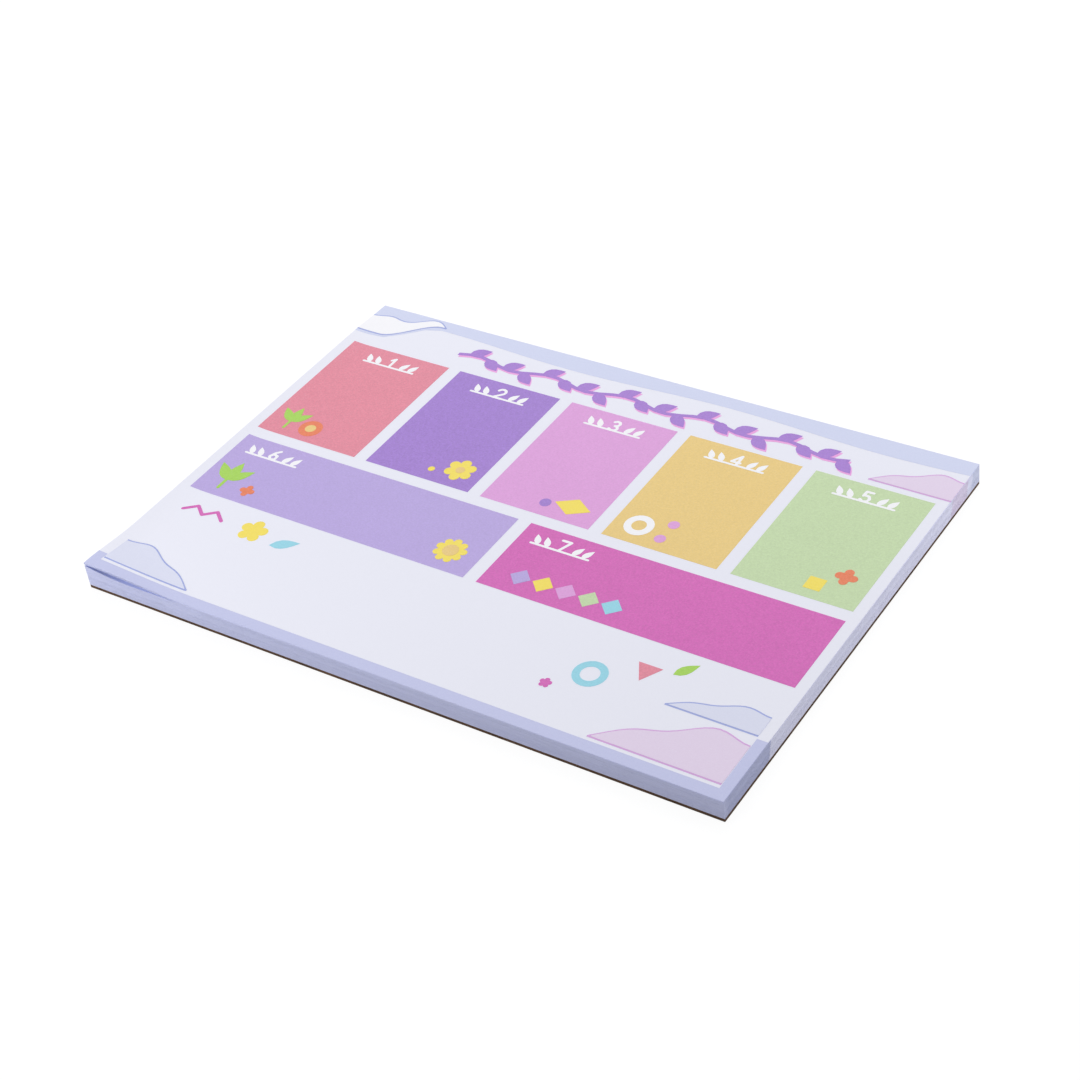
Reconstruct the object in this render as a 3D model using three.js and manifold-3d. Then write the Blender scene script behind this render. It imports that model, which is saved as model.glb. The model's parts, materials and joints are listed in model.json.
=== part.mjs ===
// Weekly planner pad: a block of printed sheets glued along its back edge, on a stiff backing board.
// Millimetres, +Z up, +X along the long side, +Y towards the glued edge.
// The origin is the middle of the footprint, on the underside of the board.

import * as THREE from 'three';
import { mergeVertices } from 'three/addons/utils/BufferGeometryUtils.js';
import Module from 'manifold-3d';

const wasm = await Module();
wasm.setup();

// Sizes of the pad
const sheetLength = 297;
const sheetWidth = 210;
const sheetThickness = 0.163;
const sheetCount = 52;
const boardThickness = 1.5;
const glueThickness = 0.4;

// The front-left corner curls up and the left side lifts a little, held down by the glue at the back
const cornerLift = 3;
const cornerReachX = 62;
const cornerReachY = 32;
const sideLift = 1.1;
const sideReach = 14;
const sideHold = 30;

// The upper sheets part from the rest at the curled corner
const flapSheets = 4;
const gapHeight = 3.2;
const gapReachX = 48;
const gapReachY = 26;
const gapClosing = 0.55;
const gapTip = 0.1;
const cutOver = 1;

// Print is a thin film, laid one film over another
const filmThickness = 0.06;
const printGap = 0.3;

// Layout of the page, from its edges inwards
const sideMargin = 4.9;
const titleDepth = 30.3;
const gutter = 6.2;
const rowGap = 6;
const weekdayCount = 5;
const weekendCount = 2;
const weekdayHeight = 71.7;
const weekendHeight = 40.4;
const bandDepth = 5.2;
const bandLegWidth = 4.5;
const bandLeftLeg = 9.5;
const bandRightLeg = 32.4;

// Sky band along the back edge, with a wavy lower side that comes down at the left
const skyDepth = 8.4;
const skyWave = 1.5;
const skyWaveLength = 150;
const skyDrop = 15;
const skyDropReach = 24;
const skyDropStart = 12;
const skySteps = 40;

// Garland in the title band, with its shade shifted to the right and front
const garlandDepth = 19.3;
const garlandFrom = 55;
const garlandTo = 48;
const garlandSwing = 2;
const garlandWaves = 5;
const stemWidth = 1.9;
const stemSteps = 34;
const leafLength = 10.6;
const leafWidth = 6;
const leafAngle = 0.6;
const leavesPerWave = 4;
const shadeShift = 1;

// Header of a day panel: a numeral between slanting leaves, all standing on a line
const headerDrop = 10.6;
const headerInset = 20;
const headerWidth = 27;
const headerLine = 1.1;
const headerLeafWidth = 2.9;
const headerLeafTilt = 0.5;
const numeralHeight = 6.4;
const numeralWidth = 4;
const strokeWidth = 1.3;

// Rolling hills in the corners of the page
const hillReach = 60;
const hillBase = 1.6;
const rimWidth = 0.7;
const hillRipple = 0.1;
const hillHumps = 1.75;
const hillSteps = 20;

// Small ornaments
const ornament = 7;
const roundSides = 24;
const petalSides = 12;
const markPitch = 5.2;
const markWidth = 1.6;

const inks = {
  page: 0xecedf7,
  board: 0x7a5f4c,
  glue: 0xe4e4ea,
  sky: 0xccd2ee,
  band: 0xc0c4ea,
  coral: 0xe27a84,
  violet: 0x9a78cf,
  orchid: 0xdc9fdc,
  amber: 0xe8c068,
  leafGreen: 0xbfdc9c,
  lilac: 0xb3a0dd,
  magenta: 0xd455ab,
  white: 0xf8f8fc,
  titlePurple: 0xa47bd0,
  titlePink: 0xeaa0e2,
  yellow: 0xf3dc4e,
  lime: 0x9ccf3d,
  orange: 0xe8743f,
  periwinkle: 0x97a5df,
  paleBlue: 0xd5d9f0,
  palePink: 0xe0cdea,
  rimPink: 0xcf9edb,
  aqua: 0x8fd3e6,
};

// Places that follow from the sizes
const blockHeight = sheetThickness * sheetCount;
const leftEdge = -sheetLength / 2;
const rightEdge = sheetLength / 2;
const frontEdge = -(sheetWidth + glueThickness) / 2;
const backEdge = frontEdge + sheetWidth;
const pageHeight = boardThickness + blockHeight;
const flapThickness = flapSheets * sheetThickness;
const pressHeight = pageHeight + cornerLift * 2;
const bandInner = frontEdge + bandDepth;
const rightLegInner = rightEdge - bandLegWidth;
const leftLegInner = leftEdge + bandLegWidth;

function smooth(value) {
  const clamped = Math.min(Math.max(value, 0), 1);
  return clamped * clamped * (3 - 2 * clamped);
}

function steps(from, to, count) {
  return Array.from({ length: count + 1 }, (unused, i) => from + ((to - from) * i) / count);
}

// Grid lines in order, inside 0 to length, with none closer than a hair to the next
function gridLines(length, values) {
  const hair = 0.05;
  const inner = values.filter((v) => v > hair && v < length - hair).sort((a, b) => a - b);
  const kept = [0];
  for (const value of inner) {
    if (value - kept[kept.length - 1] > hair) kept.push(value);
  }
  kept.push(length);
  return kept;
}

// How far the top sheet stands above its flat place
function liftAt(x, y) {
  const alongFront = Math.max(x - leftEdge, 0);
  const alongSide = Math.max(y - frontEdge, 0);
  const corner = smooth(1 - alongFront / cornerReachX - alongSide / cornerReachY);
  const fromSide = Math.max(1 - alongFront / sideReach, 0);
  const held = smooth((sheetWidth - alongSide) / sideHold);
  const side = (sideLift / cornerLift) * fromSide * fromSide * held;
  return cornerLift * (1 - (1 - corner) * (1 - side));
}

function topAt(x, y) {
  return pageHeight + liftAt(x, y);
}

// Height of the gap under the parted sheets, below zero where they lie together
function gapAt(x, y) {
  const along = Math.max(x - leftEdge, 0) / gapReachX + Math.max(y - frontEdge, 0) / gapReachY;
  const open = 1 - along;
  if (open <= 0) return gapHeight * open - gapTip;
  return gapHeight * smooth(open) * (1 - gapClosing * open ** 3) - gapTip;
}

function solidFrom(geometry) {
  const bare = geometry.clone();
  bare.deleteAttribute('normal');
  bare.deleteAttribute('uv');
  const merged = mergeVertices(bare, 1e-5);
  return new wasm.Manifold(
    new wasm.Mesh({
      numProp: 3,
      vertProperties: new Float32Array(merged.attributes.position.array),
      triVerts: new Uint32Array(merged.index.array),
    }),
  );
}

// Closed slab between two height functions over a grid
function slab(xs, ys, lower, upper) {
  const positions = [];
  const index = [];
  const columns = xs.length;
  const rows = ys.length;
  const last = columns - 1;
  for (const height of [lower, upper]) {
    for (const y of ys) {
      for (const x of xs) positions.push(x, y, height(x, y));
    }
  }
  const at = (i, j, level) => level * columns * rows + j * columns + i;
  const quad = (a, b, c, d) => index.push(a, b, c, a, c, d);
  for (let j = 0; j < rows - 1; j += 1) {
    for (let i = 0; i < columns - 1; i += 1) {
      quad(at(i, j, 1), at(i + 1, j, 1), at(i + 1, j + 1, 1), at(i, j + 1, 1));
      index.push(at(i, j, 0), at(i + 1, j + 1, 0), at(i + 1, j, 0));
      index.push(at(i, j, 0), at(i, j + 1, 0), at(i + 1, j + 1, 0));
    }
  }
  for (let i = 0; i < columns - 1; i += 1) {
    quad(at(i, 0, 0), at(i + 1, 0, 0), at(i + 1, 0, 1), at(i, 0, 1));
    quad(at(i + 1, rows - 1, 0), at(i, rows - 1, 0), at(i, rows - 1, 1), at(i + 1, rows - 1, 1));
  }
  for (let j = 0; j < rows - 1; j += 1) {
    quad(at(0, j + 1, 0), at(0, j, 0), at(0, j, 1), at(0, j + 1, 1));
    quad(at(last, j, 0), at(last, j + 1, 0), at(last, j + 1, 1), at(last, j, 1));
  }
  const geometry = new THREE.BufferGeometry();
  geometry.setAttribute('position', new THREE.Float32BufferAttribute(positions, 3));
  geometry.setIndex(index);
  return solidFrom(geometry);
}

// One grid for the page and everything printed on it, so that their faces meet
const pageXs = gridLines(sheetLength, [...steps(0, sideReach, 4), ...steps(0, cornerReachX, 10)]).map(
  (v) => v + leftEdge,
);
const pageYs = gridLines(sheetWidth, [
  ...steps(0, cornerReachY, 8),
  ...steps(cornerReachY, sheetWidth - sideHold, 3),
  ...steps(sheetWidth - sideHold, sheetWidth, 4),
]).map((v) => v + frontEdge);

// The film that print of one level fills
const films = [0, 1, 2].map((level) =>
  slab(
    pageXs,
    pageYs,
    (x, y) => topAt(x, y) + level * filmThickness,
    (x, y) => topAt(x, y) + (level + 1) * filmThickness,
  ),
);

const planner = new THREE.Group();
planner.name = 'weekly_planner_pad';

function addPiece(name, solid, ink, roughness) {
  const mesh = solid.getMesh();
  const geometry = new THREE.BufferGeometry();
  geometry.setAttribute('position', new THREE.BufferAttribute(new Float32Array(mesh.vertProperties), 3));
  geometry.setIndex(new THREE.BufferAttribute(new Uint32Array(mesh.triVerts), 1));
  const flat = geometry.toNonIndexed();
  flat.computeVertexNormals();
  const material = new THREE.MeshStandardMaterial({ color: inks[ink], roughness, metalness: 0 });
  const piece = new THREE.Mesh(flat, material);
  piece.name = name;
  planner.add(piece);
}

// Outlines, each a loop of points going anticlockwise
function box(left, front, right, back) {
  return [
    [left, front],
    [right, front],
    [right, back],
    [left, back],
  ];
}

function disc(x, y, radius, sides = roundSides) {
  return polygon(x, y, radius, sides);
}

function polygon(x, y, radius, sides, turn = 0, stretch = 1) {
  return Array.from({ length: sides }, (unused, i) => {
    const angle = turn + (i / sides) * Math.PI * 2;
    return [x + radius * stretch * Math.cos(angle), y + radius * Math.sin(angle)];
  });
}

function bar(x1, y1, x2, y2, width) {
  const heading = Math.atan2(y2 - y1, x2 - x1);
  const half = width / 2;
  const turns = steps(-Math.PI / 2, Math.PI / 2, 3);
  const far = turns.map((t) => [x2 + half * Math.cos(heading + t), y2 + half * Math.sin(heading + t)]);
  const near = turns.map((t) => [x1 - half * Math.cos(heading + t), y1 - half * Math.sin(heading + t)]);
  return [...far, ...near];
}

function leaf(x, y, length, width, heading) {
  const side = (u, sign) => {
    const out = (sign * width * Math.sin(Math.PI * u ** 0.8)) / 2;
    const along = length * u;
    return [
      x + along * Math.cos(heading) - out * Math.sin(heading),
      y + along * Math.sin(heading) + out * Math.cos(heading),
    ];
  };
  const shares = steps(0, 1, 5);
  return [...shares.map((u) => side(u, -1)), ...shares.slice(1, -1).reverse().map((u) => side(u, 1))];
}

function prism(loop) {
  const shape = new THREE.Shape(loop.map(([x, y]) => new THREE.Vector2(x, y)));
  return solidFrom(new THREE.ExtrudeGeometry(shape, { depth: pressHeight, bevelEnabled: false }));
}

function joined(loops) {
  return loops.map(prism).reduce((whole, next) => whole.add(next));
}

function print(name, pressed, level, ink) {
  addPiece(name, films[level].intersect(pressed), ink, 0.62);
}

// Backing board
addPiece(
  'backing_board',
  slab([leftEdge, rightEdge], [frontEdge, backEdge], () => 0, () => boardThickness),
  'board',
  0.85,
);

// Sheets, one solid, with the gap that opens under the upper ones at the curled corner
const gapXs = [leftEdge - cutOver, ...steps(leftEdge, leftEdge + gapReachX * 1.2, 12)];
const gapYs = [frontEdge - cutOver, ...steps(frontEdge, frontEdge + gapReachY * 1.2, 8)];
const underFlap = (x, y) => topAt(x, y) - flapThickness;
const belowFlap = slab(gapXs, gapYs, () => boardThickness / 2, underFlap);
const aboveRest = slab(gapXs, gapYs, (x, y) => underFlap(x, y) - gapAt(x, y), () => pressHeight);
const fullBlock = slab(pageXs, pageYs, () => boardThickness, topAt);
addPiece('sheet_block', fullBlock.subtract(belowFlap.intersect(aboveRest)), 'page', 0.7);

// Glue along the back edge of the sheets and the board
addPiece(
  'glue_strip',
  slab([leftEdge, rightEdge], [backEdge, backEdge + glueThickness], () => 0, () => pageHeight),
  'glue',
  0.4,
);

// Day panels, five weekdays in one row and the weekend in the next
const panelInks = ['coral', 'violet', 'orchid', 'amber', 'leafGreen', 'lilac', 'magenta'];

function panelRow(count, back, height) {
  const width = (sheetLength - 2 * sideMargin - (count - 1) * gutter) / count;
  return Array.from({ length: count }, (unused, i) => {
    const left = leftEdge + sideMargin + i * (width + gutter);
    return { left, right: left + width, front: back - height, back };
  });
}

const weekdayBack = backEdge - titleDepth;
const weekendBack = weekdayBack - weekdayHeight - rowGap;
const weekdays = panelRow(weekdayCount, weekdayBack, weekdayHeight);
const weekend = panelRow(weekendCount, weekendBack, weekendHeight);
const panels = [...weekdays, ...weekend];
panels.forEach(({ left, front, right, back }, i) => {
  print(`day_panel_${i + 1}`, prism(box(left, front, right, back)), 0, panelInks[i % panelInks.length]);
});

// Plain numerals, each a list of strokes in a cell one wide and one high
function arc(x, y, radiusX, radiusY, from, to) {
  return steps(from, to, 5).map((degrees) => {
    const angle = (degrees * Math.PI) / 180;
    return [x + radiusX * Math.cos(angle), y + radiusY * Math.sin(angle)];
  });
}

const numerals = [
  [[[0.2, 0.76], [0.58, 1], [0.58, 0]]],
  [[...arc(0.5, 0.7, 0.48, 0.3, 165, -30), [0, 0], [1, 0]]],
  [arc(0.45, 0.75, 0.42, 0.25, 150, -90), arc(0.45, 0.26, 0.5, 0.26, 90, -150)],
  [[[0.74, 0], [0.74, 1], [0, 0.3], [1, 0.3]]],
  [[[0.9, 1], [0.16, 1], [0.1, 0.55], ...arc(0.42, 0.32, 0.5, 0.32, 110, -150)]],
  [[[0.8, 1], [0.35, 0.75], [0.04, 0.3]], arc(0.5, 0.3, 0.46, 0.3, 180, -180)],
  [[[0, 1], [1, 1], [0.36, 0]]],
];

// Header of one day, centred on x and standing on the line at y
function header(x, y, numeral) {
  const half = headerWidth / 2;
  const loops = [bar(x - half, y, x + half, y, headerLine)];
  for (const side of [-1, 1]) {
    for (const share of [0.42, 0.76]) {
      const heading = Math.PI / 2 - side * headerLeafTilt;
      loops.push(leaf(x + side * share * half, y, numeralHeight, headerLeafWidth, heading));
    }
  }
  const place = ([u, v]) => [x + (u - 0.5) * numeralWidth, y + v * numeralHeight];
  for (const stroke of numeral) {
    for (let i = 1; i < stroke.length; i += 1) {
      loops.push(bar(...place(stroke[i - 1]), ...place(stroke[i]), strokeWidth));
    }
  }
  return joined(loops);
}

panels.forEach(({ left, right, back }, i) => {
  const isWeekday = i < weekdayCount;
  const x = isWeekday ? (left + right) / 2 : left + headerInset;
  print(`day_header_${i + 1}`, header(x, back - headerDrop, numerals[i % numerals.length]), 1, 'white');
});

// Sky band
function skyFront(x) {
  const drop = skyDrop * smooth((leftEdge + skyDropStart + skyDropReach - x) / skyDropReach);
  const wave = skyWave * Math.sin((2 * Math.PI * x) / skyWaveLength);
  return backEdge - skyDepth - drop + wave;
}

const skyLoop = [
  ...steps(leftEdge, rightEdge, skySteps).map((x) => [x, skyFront(x)]),
  [rightEdge, backEdge],
  [leftEdge, backEdge],
];
print('sky_band', prism(skyLoop), 0, 'sky');

// Band along the front edge, turned up at both corners
print(
  'front_band',
  prism([
    [leftEdge, frontEdge],
    [rightEdge, frontEdge],
    [rightEdge, frontEdge + bandRightLeg],
    [rightLegInner, frontEdge + bandRightLeg],
    [rightLegInner, bandInner],
    [leftLegInner, bandInner],
    [leftLegInner, frontEdge + bandLeftLeg],
    [leftEdge, frontEdge + bandLeftLeg],
  ]),
  0,
  'band',
);

// Garland
const garlandStart = leftEdge + garlandFrom;
const garlandEnd = rightEdge - garlandTo;
const garlandLine = backEdge - garlandDepth;

function stemPoint(share, shiftX, shiftY) {
  const x = garlandStart + share * (garlandEnd - garlandStart);
  const y = garlandLine + garlandSwing * Math.sin(2 * Math.PI * garlandWaves * share);
  return [x + shiftX, y + shiftY];
}

function garland(shiftX, shiftY) {
  const shares = steps(0, 1, stemSteps);
  const front = shares.map((share) => stemPoint(share, shiftX, shiftY - stemWidth / 2));
  const back = shares.map((share) => stemPoint(share, shiftX, shiftY + stemWidth / 2));
  const loops = [[...front, ...back.reverse()]];
  const leaves = garlandWaves * leavesPerWave;
  for (let i = 0; i < leaves; i += 1) {
    const heading = i % 2 === 0 ? leafAngle : -leafAngle;
    loops.push(leaf(...stemPoint((i + 0.5) / leaves, shiftX, shiftY), leafLength, leafWidth, heading));
  }
  return joined(loops);
}

const garlandTop = garland(0, 0);
print('garland_shade', garland(shadeShift, -shadeShift).add(garlandTop), 0, 'titlePink');
print('garland', garlandTop, 1, 'titlePurple');

// Rolling hills: from is the low end, to is the high end at the edge of the page or of the band
function hillLoop(from, to, baseAt, rise, inset) {
  const low = from + Math.sign(to - from) * inset * 2;
  const xs = steps(low, to, hillSteps);
  const topOf = (x) => {
    const share = (x - from) / (to - from);
    const ripple = 1 + hillRipple * Math.sin(2 * Math.PI * hillHumps * share);
    return rise * (1 - (1 - share) ** 2) * ripple;
  };
  const front = xs.map((x) => [x, baseAt(x) + inset]);
  const back = xs.map((x) => [x, baseAt(x) + Math.max(topOf(x) + rimWidth - inset, inset * 1.3)]);
  const loop = [...front, ...back.reverse()];
  return to > from ? loop : loop.reverse();
}

function hill(name, level, from, to, baseAt, rise, [rimInk, fillInk]) {
  print(`${name}_rim`, prism(hillLoop(from, to, baseAt, rise, 0)), level, rimInk);
  print(`${name}_fill`, prism(hillLoop(from, to, baseAt, rise, rimWidth)), level + 1, fillInk);
}

const notesBack = weekendBack - weekendHeight;
const notesDepth = notesBack - bandInner;
const rightStop = rightLegInner - printGap;
const leftStop = leftLegInner + printGap;
const onBand = () => bandInner + hillBase;
const onRise = () => bandInner + notesDepth * 0.5;
const onPanels = () => weekdayBack + hillBase * 2;
const onSky = (x) => skyFront(x) + hillBase;
const backRise = titleDepth * 0.46;
const pinkHill = ['rimPink', 'palePink'];
const blueHill = ['periwinkle', 'paleBlue'];
const whiteHill = ['periwinkle', 'white'];
hill('hill_right', 0, rightEdge - hillReach, rightStop, onBand, notesDepth * 0.41, pinkHill);
hill('hill_left', 0, leftEdge + hillReach * 0.8, leftStop, onBand, notesDepth * 0.28, blueHill);
hill('hill_upper', 0, rightEdge - hillReach * 0.72, rightStop, onRise, notesDepth * 0.2, blueHill);
hill('hill_back', 0, rightEdge - hillReach * 0.6, rightEdge, onPanels, backRise, pinkHill);
hill('hill_sky', 1, leftEdge + hillReach * 0.64, leftEdge, onSky, backRise, whiteHill);

// Small ornaments. Sizes and places count in ornament sizes, and a place below zero counts from the right.
const [day1, day2, day3, day4, day5, day6, day7] = panels;
const notes = { left: leftEdge + sideMargin, right: rightEdge - sideMargin };

function across(area, count) {
  return count < 0 ? area.right + count * ornament : area.left + count * ornament;
}

function onPanel(panel, count, up) {
  return [across(panel, count), panel.front + up * ornament];
}

function onNotes(count, share) {
  return [across(notes, count), bandInner + share * notesDepth];
}

function round([x, y], size) {
  return prism(disc(x, y, size * ornament));
}

function ring([x, y], outer, inner) {
  return prism(disc(x, y, outer * ornament)).subtract(prism(disc(x, y, inner * ornament)));
}

function lozenge([x, y], size, stretch = 1) {
  return prism(polygon(x, y, size * ornament, 4, 0, stretch));
}

function tile([x, y], size) {
  return prism(polygon(x, y, size * ornament, 4, Math.PI / 4));
}

function flower([x, y], size, petals, petalShare) {
  const radius = size * ornament;
  const out = radius * (1 - petalShare);
  const centres = polygon(x, y, out, petals, Math.PI / 2);
  return joined([disc(x, y, out), ...centres.map(([u, v]) => disc(u, v, radius * petalShare, petalSides))]);
}

function sprig([x, y], size) {
  const length = size * ornament;
  const leaves = [-0.75, 0, 0.75].map((tilt) => leaf(x, y, length, length * 0.42, Math.PI / 2 + tilt));
  return joined([...leaves, bar(x, y - length * 0.45, x, y + length * 0.2, length * 0.12)]);
}

function frond([x, y], size, heading) {
  return prism(leaf(x, y, size * ornament, size * ornament * 0.42, heading));
}

print('sprig_day1', sprig(onPanel(day1, 1.5, 1.35), 1.5), 1, 'lime');
print('disc_day1', round(onPanel(day1, 3.2, 1.25), 0.78), 1, 'orange');
print('dot_day1', round(onPanel(day1, 3.2, 1.25), 0.36), 2, 'amber');

print('flower_day2', flower(onPanel(day2, -1.6, 1.6), 1, 6, 0.34), 1, 'yellow');
print('dot_day2', round(onPanel(day2, -1.6, 1.6), 0.3), 2, 'amber');
print('bead_day2', round(onPanel(day2, -3.3, 1), 0.22), 1, 'yellow');

print('lozenge_day3', lozenge(onPanel(day3, -1.9, 1.4), 0.76, 1.6), 1, 'yellow');
print('disc_day3', round(onPanel(day3, -3.6, 1.1), 0.36), 1, 'violet');

print('ring_day4', ring(onPanel(day4, 1.6, 1.55), 0.9, 0.45), 1, 'white');
print('disc_day4', round(onPanel(day4, 3.3, 1), 0.35), 1, 'orchid');
print('dot_day4', round(onPanel(day4, 3.4, 2.4), 0.35), 1, 'orchid');

print('clover_day5', flower(onPanel(day5, -1.6, 2.4), 0.68, 4, 0.4), 1, 'orange');
print('tile_day5', tile(onPanel(day5, -2.9, 1.2), 0.72), 1, 'yellow');

print('rosette_day6', flower(onPanel(day6, -2, 1.7), 1.05, 9, 0.24), 1, 'yellow');
print('dot_day6', round(onPanel(day6, -2, 1.7), 0.5), 2, 'amber');
print('sprig_day6', sprig(onPanel(day6, 1.6, 1.5), 1.8), 1, 'lime');
print('clover_day6', flower(onPanel(day6, 3.5, 1.15), 0.52, 4, 0.4), 1, 'orange');

// Five lozenges in a row on the last panel
const lozengeInks = ['lilac', 'yellow', 'orchid', 'leafGreen', 'aqua'];
lozengeInks.forEach((ink, i) => {
  print(`lozenge_day7_${i + 1}`, lozenge(onPanel(day7, 2.1 + i * 1.5, 1.4), 0.68), 1, ink);
});

// Notes area: a heading mark and a few ornaments
const [markLeft, markFront] = onNotes(0.95, 0.77);
const markRise = markPitch * 0.8;
const markDots = steps(0, 4, 4).map((i) => [markLeft + i * markPitch, markFront + (i % 2) * markRise]);
const markBars = markDots.slice(1).map((dot, i) => bar(...markDots[i], ...dot, markWidth));
print('notes_mark', joined(markBars), 0, 'magenta');
print('flower_notes', flower(onNotes(6.3, 0.78), 0.95, 5, 0.38), 0, 'yellow');
print('leaf_notes', frond(onNotes(8, 0.7), 1.85, 0.5), 0, 'aqua');
print('ring_notes', ring(onNotes(-10.2, 0.54), 1, 0.56), 0, 'aqua');
print('pennant_notes', prism(polygon(...onNotes(-7.6, 0.73), ornament * 0.86, 3, Math.PI / 6)), 0, 'coral');
print('leaf_right', frond(onNotes(-6.2, 0.77), 1.55, 0.9), 0, 'lime');
print('bead_notes', flower(onNotes(-12, 0.34), 0.38, 5, 0.4), 0, 'magenta');

export default planner;
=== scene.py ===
import json
import math
import random

import bmesh
import bpy
from mathutils import Matrix, Vector, noise


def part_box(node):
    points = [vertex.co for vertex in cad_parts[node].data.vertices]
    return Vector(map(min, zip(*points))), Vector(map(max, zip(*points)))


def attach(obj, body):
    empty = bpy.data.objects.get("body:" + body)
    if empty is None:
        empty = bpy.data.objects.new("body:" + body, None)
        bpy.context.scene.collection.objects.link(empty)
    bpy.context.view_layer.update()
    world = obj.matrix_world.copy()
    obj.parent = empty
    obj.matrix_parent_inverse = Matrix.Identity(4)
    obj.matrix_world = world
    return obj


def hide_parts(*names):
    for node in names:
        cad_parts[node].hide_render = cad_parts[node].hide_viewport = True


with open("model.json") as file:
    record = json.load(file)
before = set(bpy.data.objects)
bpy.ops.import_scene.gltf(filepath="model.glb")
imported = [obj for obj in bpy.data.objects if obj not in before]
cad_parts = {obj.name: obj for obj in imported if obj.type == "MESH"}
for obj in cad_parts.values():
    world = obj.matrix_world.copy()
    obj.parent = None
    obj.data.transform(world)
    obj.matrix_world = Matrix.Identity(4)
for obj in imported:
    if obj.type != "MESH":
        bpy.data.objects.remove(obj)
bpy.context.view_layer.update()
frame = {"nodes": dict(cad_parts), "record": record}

# Weekly planner pad: a block of printed sheets glued to a chipboard back, one corner curled.
# Metres, reader at -Y, glued edge at +Y, the pad stands on z = 0.
mm = 0.001
nodes = frame["nodes"]
blockLow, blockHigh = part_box("sheet_block")
boardLow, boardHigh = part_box("backing_board")
glueLow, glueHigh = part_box("glue_strip")
padLeft, padRight = blockLow[0], blockHigh[0]
padFront, padBack = blockLow[1], blockHigh[1]
boardTop = boardHigh[2]
print("frame loaded:", len(nodes), "nodes")


def toLinear(red, green, blue):
    def channel(value):
        share = value / 255
        return share / 12.92 if share <= 0.04045 else ((share + 0.055) / 1.055) ** 2.4
    return (channel(red), channel(green), channel(blue), 1.0)


def smooth(value):
    share = min(max(value, 0.0), 1.0)
    return share * share * (3 - 2 * share)


def steps(start, end, count):
    return [start + (end - start) * i / count for i in range(count + 1)]


# Shader nodes

def addMath(tree, operation, *values):
    node = tree.nodes.new("ShaderNodeMath")
    node.operation = operation
    for socket, value in zip(node.inputs, values):
        if isinstance(value, (int, float)):
            socket.default_value = value
        else:
            tree.links.new(value, socket)
    return node.outputs[0]


def addMix(tree, factor, first, second):
    node = tree.nodes.new("ShaderNodeMix")
    node.data_type = "RGBA"
    for name, value in (("Factor", factor), ("A", first), ("B", second)):
        socket = next(s for s in node.inputs if s.name == name and s.enabled)
        if isinstance(value, (int, float, tuple)):
            socket.default_value = value
        else:
            tree.links.new(value, socket)
    return next(s for s in node.outputs if s.enabled)


def addSeen(tree):
    # 1 for the rays that show the background: camera, mirror and glass rays
    path = tree.nodes.new("ShaderNodeLightPath")
    first = addMath(tree, "MAXIMUM", path.outputs["Is Camera Ray"], path.outputs["Is Glossy Ray"])
    return addMath(tree, "MAXIMUM", first, path.outputs["Is Transmission Ray"])


# Camera and light

cameraSettings = {
    "place": (448.5 * mm, -568.8 * mm, 571.06 * mm),
    "aim": (12.2 * mm, -10.9 * mm, 9.96 * mm),
    "roll": -8.346,
    "lens": 75.62,
    "sensor": 36.0,
    "nearest": 0.05,
}


def makeCamera(settings):
    data = bpy.data.cameras.new("camera")
    data.lens = settings["lens"]
    data.sensor_fit = "HORIZONTAL"
    data.sensor_width = settings["sensor"]
    data.clip_start = settings["nearest"]
    camera = bpy.data.objects.new("camera", data)
    place = Vector(settings["place"])
    back = (place - Vector(settings["aim"])).normalized()
    right = Vector((0, 0, 1)).cross(back).normalized()
    up = back.cross(right)
    turn = Matrix((right, up, back)).transposed().to_4x4()
    roll = Matrix.Rotation(math.radians(settings["roll"]), 4, "Z")
    camera.matrix_world = Matrix.Translation(place) @ turn @ roll
    bpy.context.collection.objects.link(camera)
    bpy.context.scene.camera = camera


lightSettings = {
    "backSoftbox": {
        "place": (-0.52, 1.0, 1.17),
        "aim": (0, 0, 0),
        "width": 1.3,
        "height": 1.3,
        "power": 15.1,
    },
    "leftCard": {
        "place": (-0.25, -0.405, 0.1),
        "aim": (-0.12, -0.105, 0.006),
        "width": 0.35,
        "height": 0.08,
        "power": 0.66,
    },
    "rightCard": {
        "place": (0.46, 0.22, 0.05),
        "aim": (0.148, 0.05, 0.006),
        "width": 0.35,
        "height": 0.08,
        "power": 0.56,
    },
}
worldSettings = {"sky": (1.0, 1.0, 1.0), "strength": 0.5}
floorSettings = {
    "size": 6.0,
    "color": (0.6, 0.6, 0.605, 1.0),
    "roughness": 0.9,
    "glow": 1.15,     # strength of the white that the camera sees
    "share": 0.8,     # how much of it covers the painted floor and its shadow
}


def makeLights(settings):
    for name, spec in settings.items():
        data = bpy.data.lights.new(name, "AREA")
        data.shape = "RECTANGLE"
        data.size = spec["width"]
        data.size_y = spec["height"]
        data.energy = spec["power"]
        lamp = bpy.data.objects.new(name, data)
        lamp.location = spec["place"]
        away = Vector(spec["place"]) - Vector(spec["aim"])
        lamp.rotation_euler = away.to_track_quat("Z", "Y").to_euler()
        lamp.visible_camera = False
        bpy.context.collection.objects.link(lamp)


def makeWorld(settings):
    world = bpy.data.worlds.new("studio")
    bpy.context.scene.world = world
    world.use_nodes = True
    tree = world.node_tree
    tree.nodes.clear()
    output = tree.nodes.new("ShaderNodeOutputWorld")
    background = tree.nodes.new("ShaderNodeBackground")
    background.inputs["Color"].default_value = (*settings["sky"], 1.0)
    seen = addSeen(tree)
    strength = tree.nodes.new("ShaderNodeMapRange")
    strength.inputs["To Min"].default_value = settings["strength"]
    strength.inputs["To Max"].default_value = 1.0
    tree.links.new(seen, strength.inputs["Value"])
    tree.links.new(strength.outputs["Result"], background.inputs["Strength"])
    tree.links.new(background.outputs["Background"], output.inputs["Surface"])


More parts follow.
